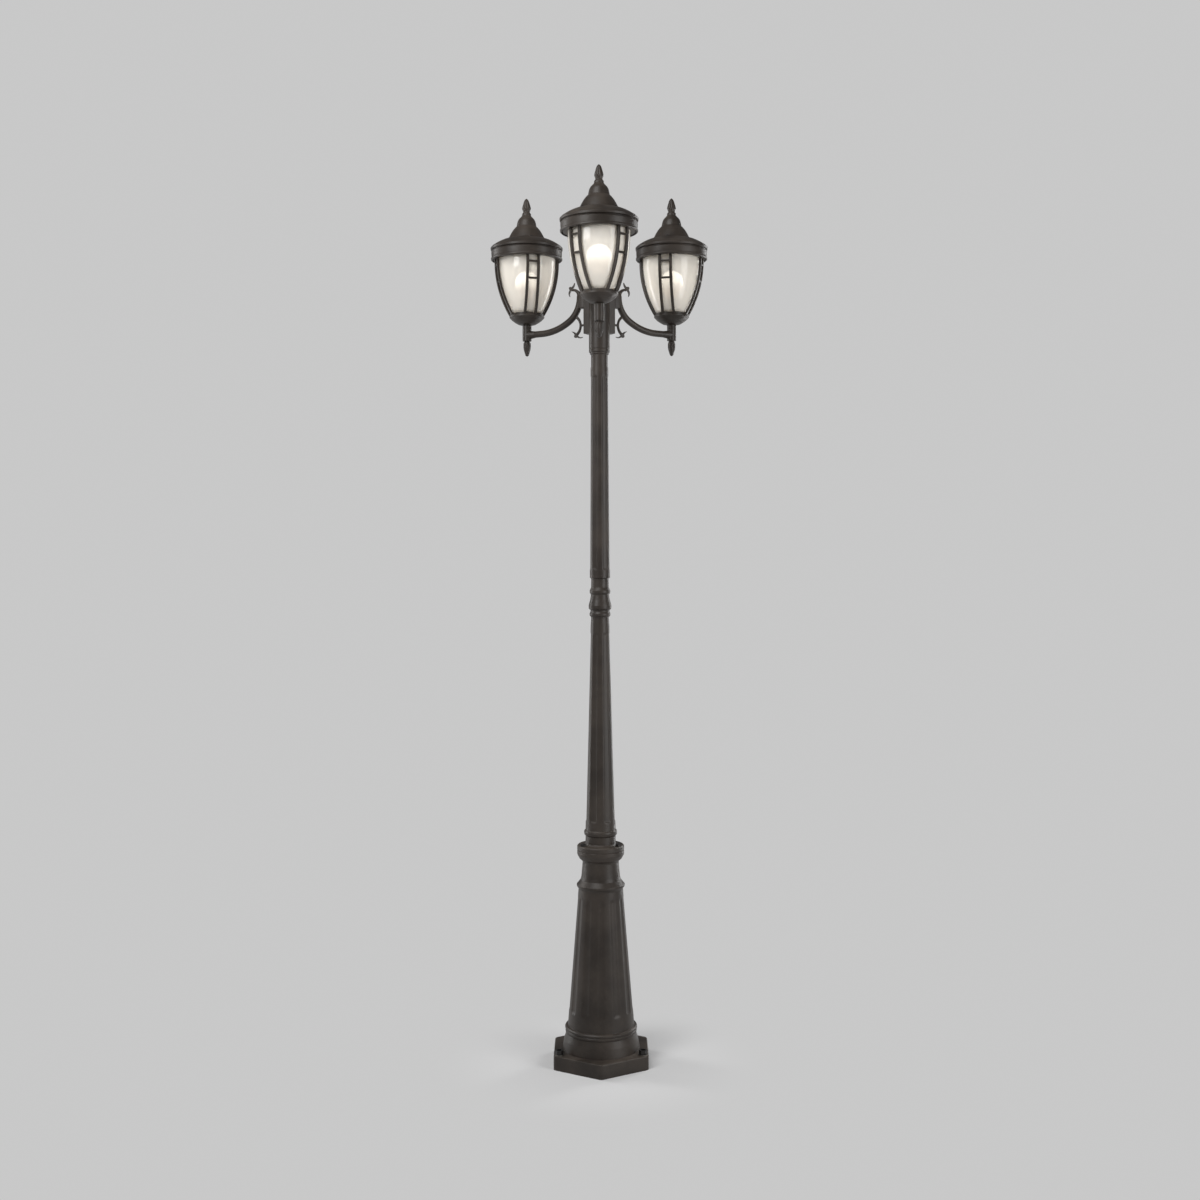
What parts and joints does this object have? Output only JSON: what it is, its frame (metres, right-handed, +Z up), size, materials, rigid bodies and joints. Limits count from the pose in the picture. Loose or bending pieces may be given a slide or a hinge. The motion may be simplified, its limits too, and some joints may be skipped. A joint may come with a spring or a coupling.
{
  "type": "triple head lamp post",
  "caption": "Freestanding garden lamp post: fluted tapering post on a bolted foot, curved arms carrying roofed frosted glass lanterns.",
  "frame": {"origin": "centre of the foot's underside, where it stands on the ground", "axes": "+Z up the post, the front arm points along -Y, the others 120 degrees round"},
  "size_m": [0.5584, 0.5085, 2.2],
  "materials": {
    "painted_castings": "satin dark bronze-grey outdoor paint over cast aluminium and steel tube",
    "painted_roofs": "satin dark bronze-grey outdoor paint over cast aluminium",
    "frosted_glass": "acid-frosted inside, smooth outside",
    "plated_steel": "dull zinc plating",
    "bare_steel": "plain drawn tube",
    "black_screws": "blackened steel",
    "holder_ceramic": "unglazed white ceramic, given as a matte non-metal",
    "connector_plastic": "moulded nylon",
    "bulb_cap_metal": "pressed shell",
    "bulb_glass": "opal, lit warm white"
  },
  "bodies": {
    "post": {"base_casting": "painted_castings", "anchor_washers": "plated_steel", "anchor_nuts": "plated_steel", "flange_bolts": "black_screws", "lower_post": "painted_castings", "joining_tube": "bare_steel", "knop_ring": "painted_castings", "upper_post": "painted_castings", "hub_casting": "painted_castings", "hub_set_screws": "black_screws", "hub_cap": "painted_castings", "terminal_block": "connector_plastic", "arm_front": "painted_castings", "drop_finial_front": "painted_castings", "threaded_tube_front": "plated_steel", "lock_nut_front": "plated_steel", "dish_front": "painted_castings", "cage_front": "painted_castings", "glass_front": "frosted_glass", "lampholder_front": "holder_ceramic", "arm_left": "painted_castings", "drop_finial_left": "painted_castings", "threaded_tube_left": "plated_steel", "lock_nut_left": "plated_steel", "dish_left": "painted_castings", "cage_left": "painted_castings", "glass_left": "frosted_glass", "lampholder_left": "holder_ceramic", "arm_right": "painted_castings", "drop_finial_right": "painted_castings", "threaded_tube_right": "plated_steel", "lock_nut_right": "plated_steel", "dish_right": "painted_castings", "cage_right": "painted_castings", "glass_right": "frosted_glass", "lampholder_right": "holder_ceramic"},
    "roof_front_group": {"roof_front": "painted_roofs", "roof_screws_front": "black_screws", "roof_finial_front": "painted_castings"},
    "bulb_front_group": {"bulb_cap_front": "bulb_cap_metal", "bulb_glass_front": "bulb_glass"},
    "roof_left_group": {"roof_left": "painted_roofs", "roof_screws_left": "black_screws", "roof_finial_left": "painted_castings"},
    "bulb_left_group": {"bulb_cap_left": "bulb_cap_metal", "bulb_glass_left": "bulb_glass"},
    "roof_right_group": {"roof_right": "painted_roofs", "roof_screws_right": "black_screws", "roof_finial_right": "painted_castings"},
    "bulb_right_group": {"bulb_cap_right": "bulb_cap_metal", "bulb_glass_right": "bulb_glass"}
  },
  "joints": [
    {"name": "roof_lift_front", "type": "slide", "parent": "post", "child": "roof_front_group", "axis": [0, 0, 1], "range_m": [0, 0.1]},
    {"name": "bulb_turn_front", "type": "hinge", "parent": "post", "child": "bulb_front_group", "pos_m": [0, -0.215, 1.937], "axis": [0, 0, 1], "continuous": true},
    {"name": "roof_lift_left", "type": "slide", "parent": "post", "child": "roof_left_group", "axis": [0, 0, 1], "range_m": [0, 0.1]},
    {"name": "bulb_turn_left", "type": "hinge", "parent": "post", "child": "bulb_left_group", "pos_m": [-0.1862, 0.1075, 1.937], "axis": [0, 0, 1], "continuous": true},
    {"name": "roof_lift_right", "type": "slide", "parent": "post", "child": "roof_right_group", "axis": [0, 0, 1], "range_m": [0, 0.1]},
    {"name": "bulb_turn_right", "type": "hinge", "parent": "post", "child": "bulb_right_group", "pos_m": [0.1862, 0.1075, 1.937], "axis": [0, 0, 1], "continuous": true}
  ]
}
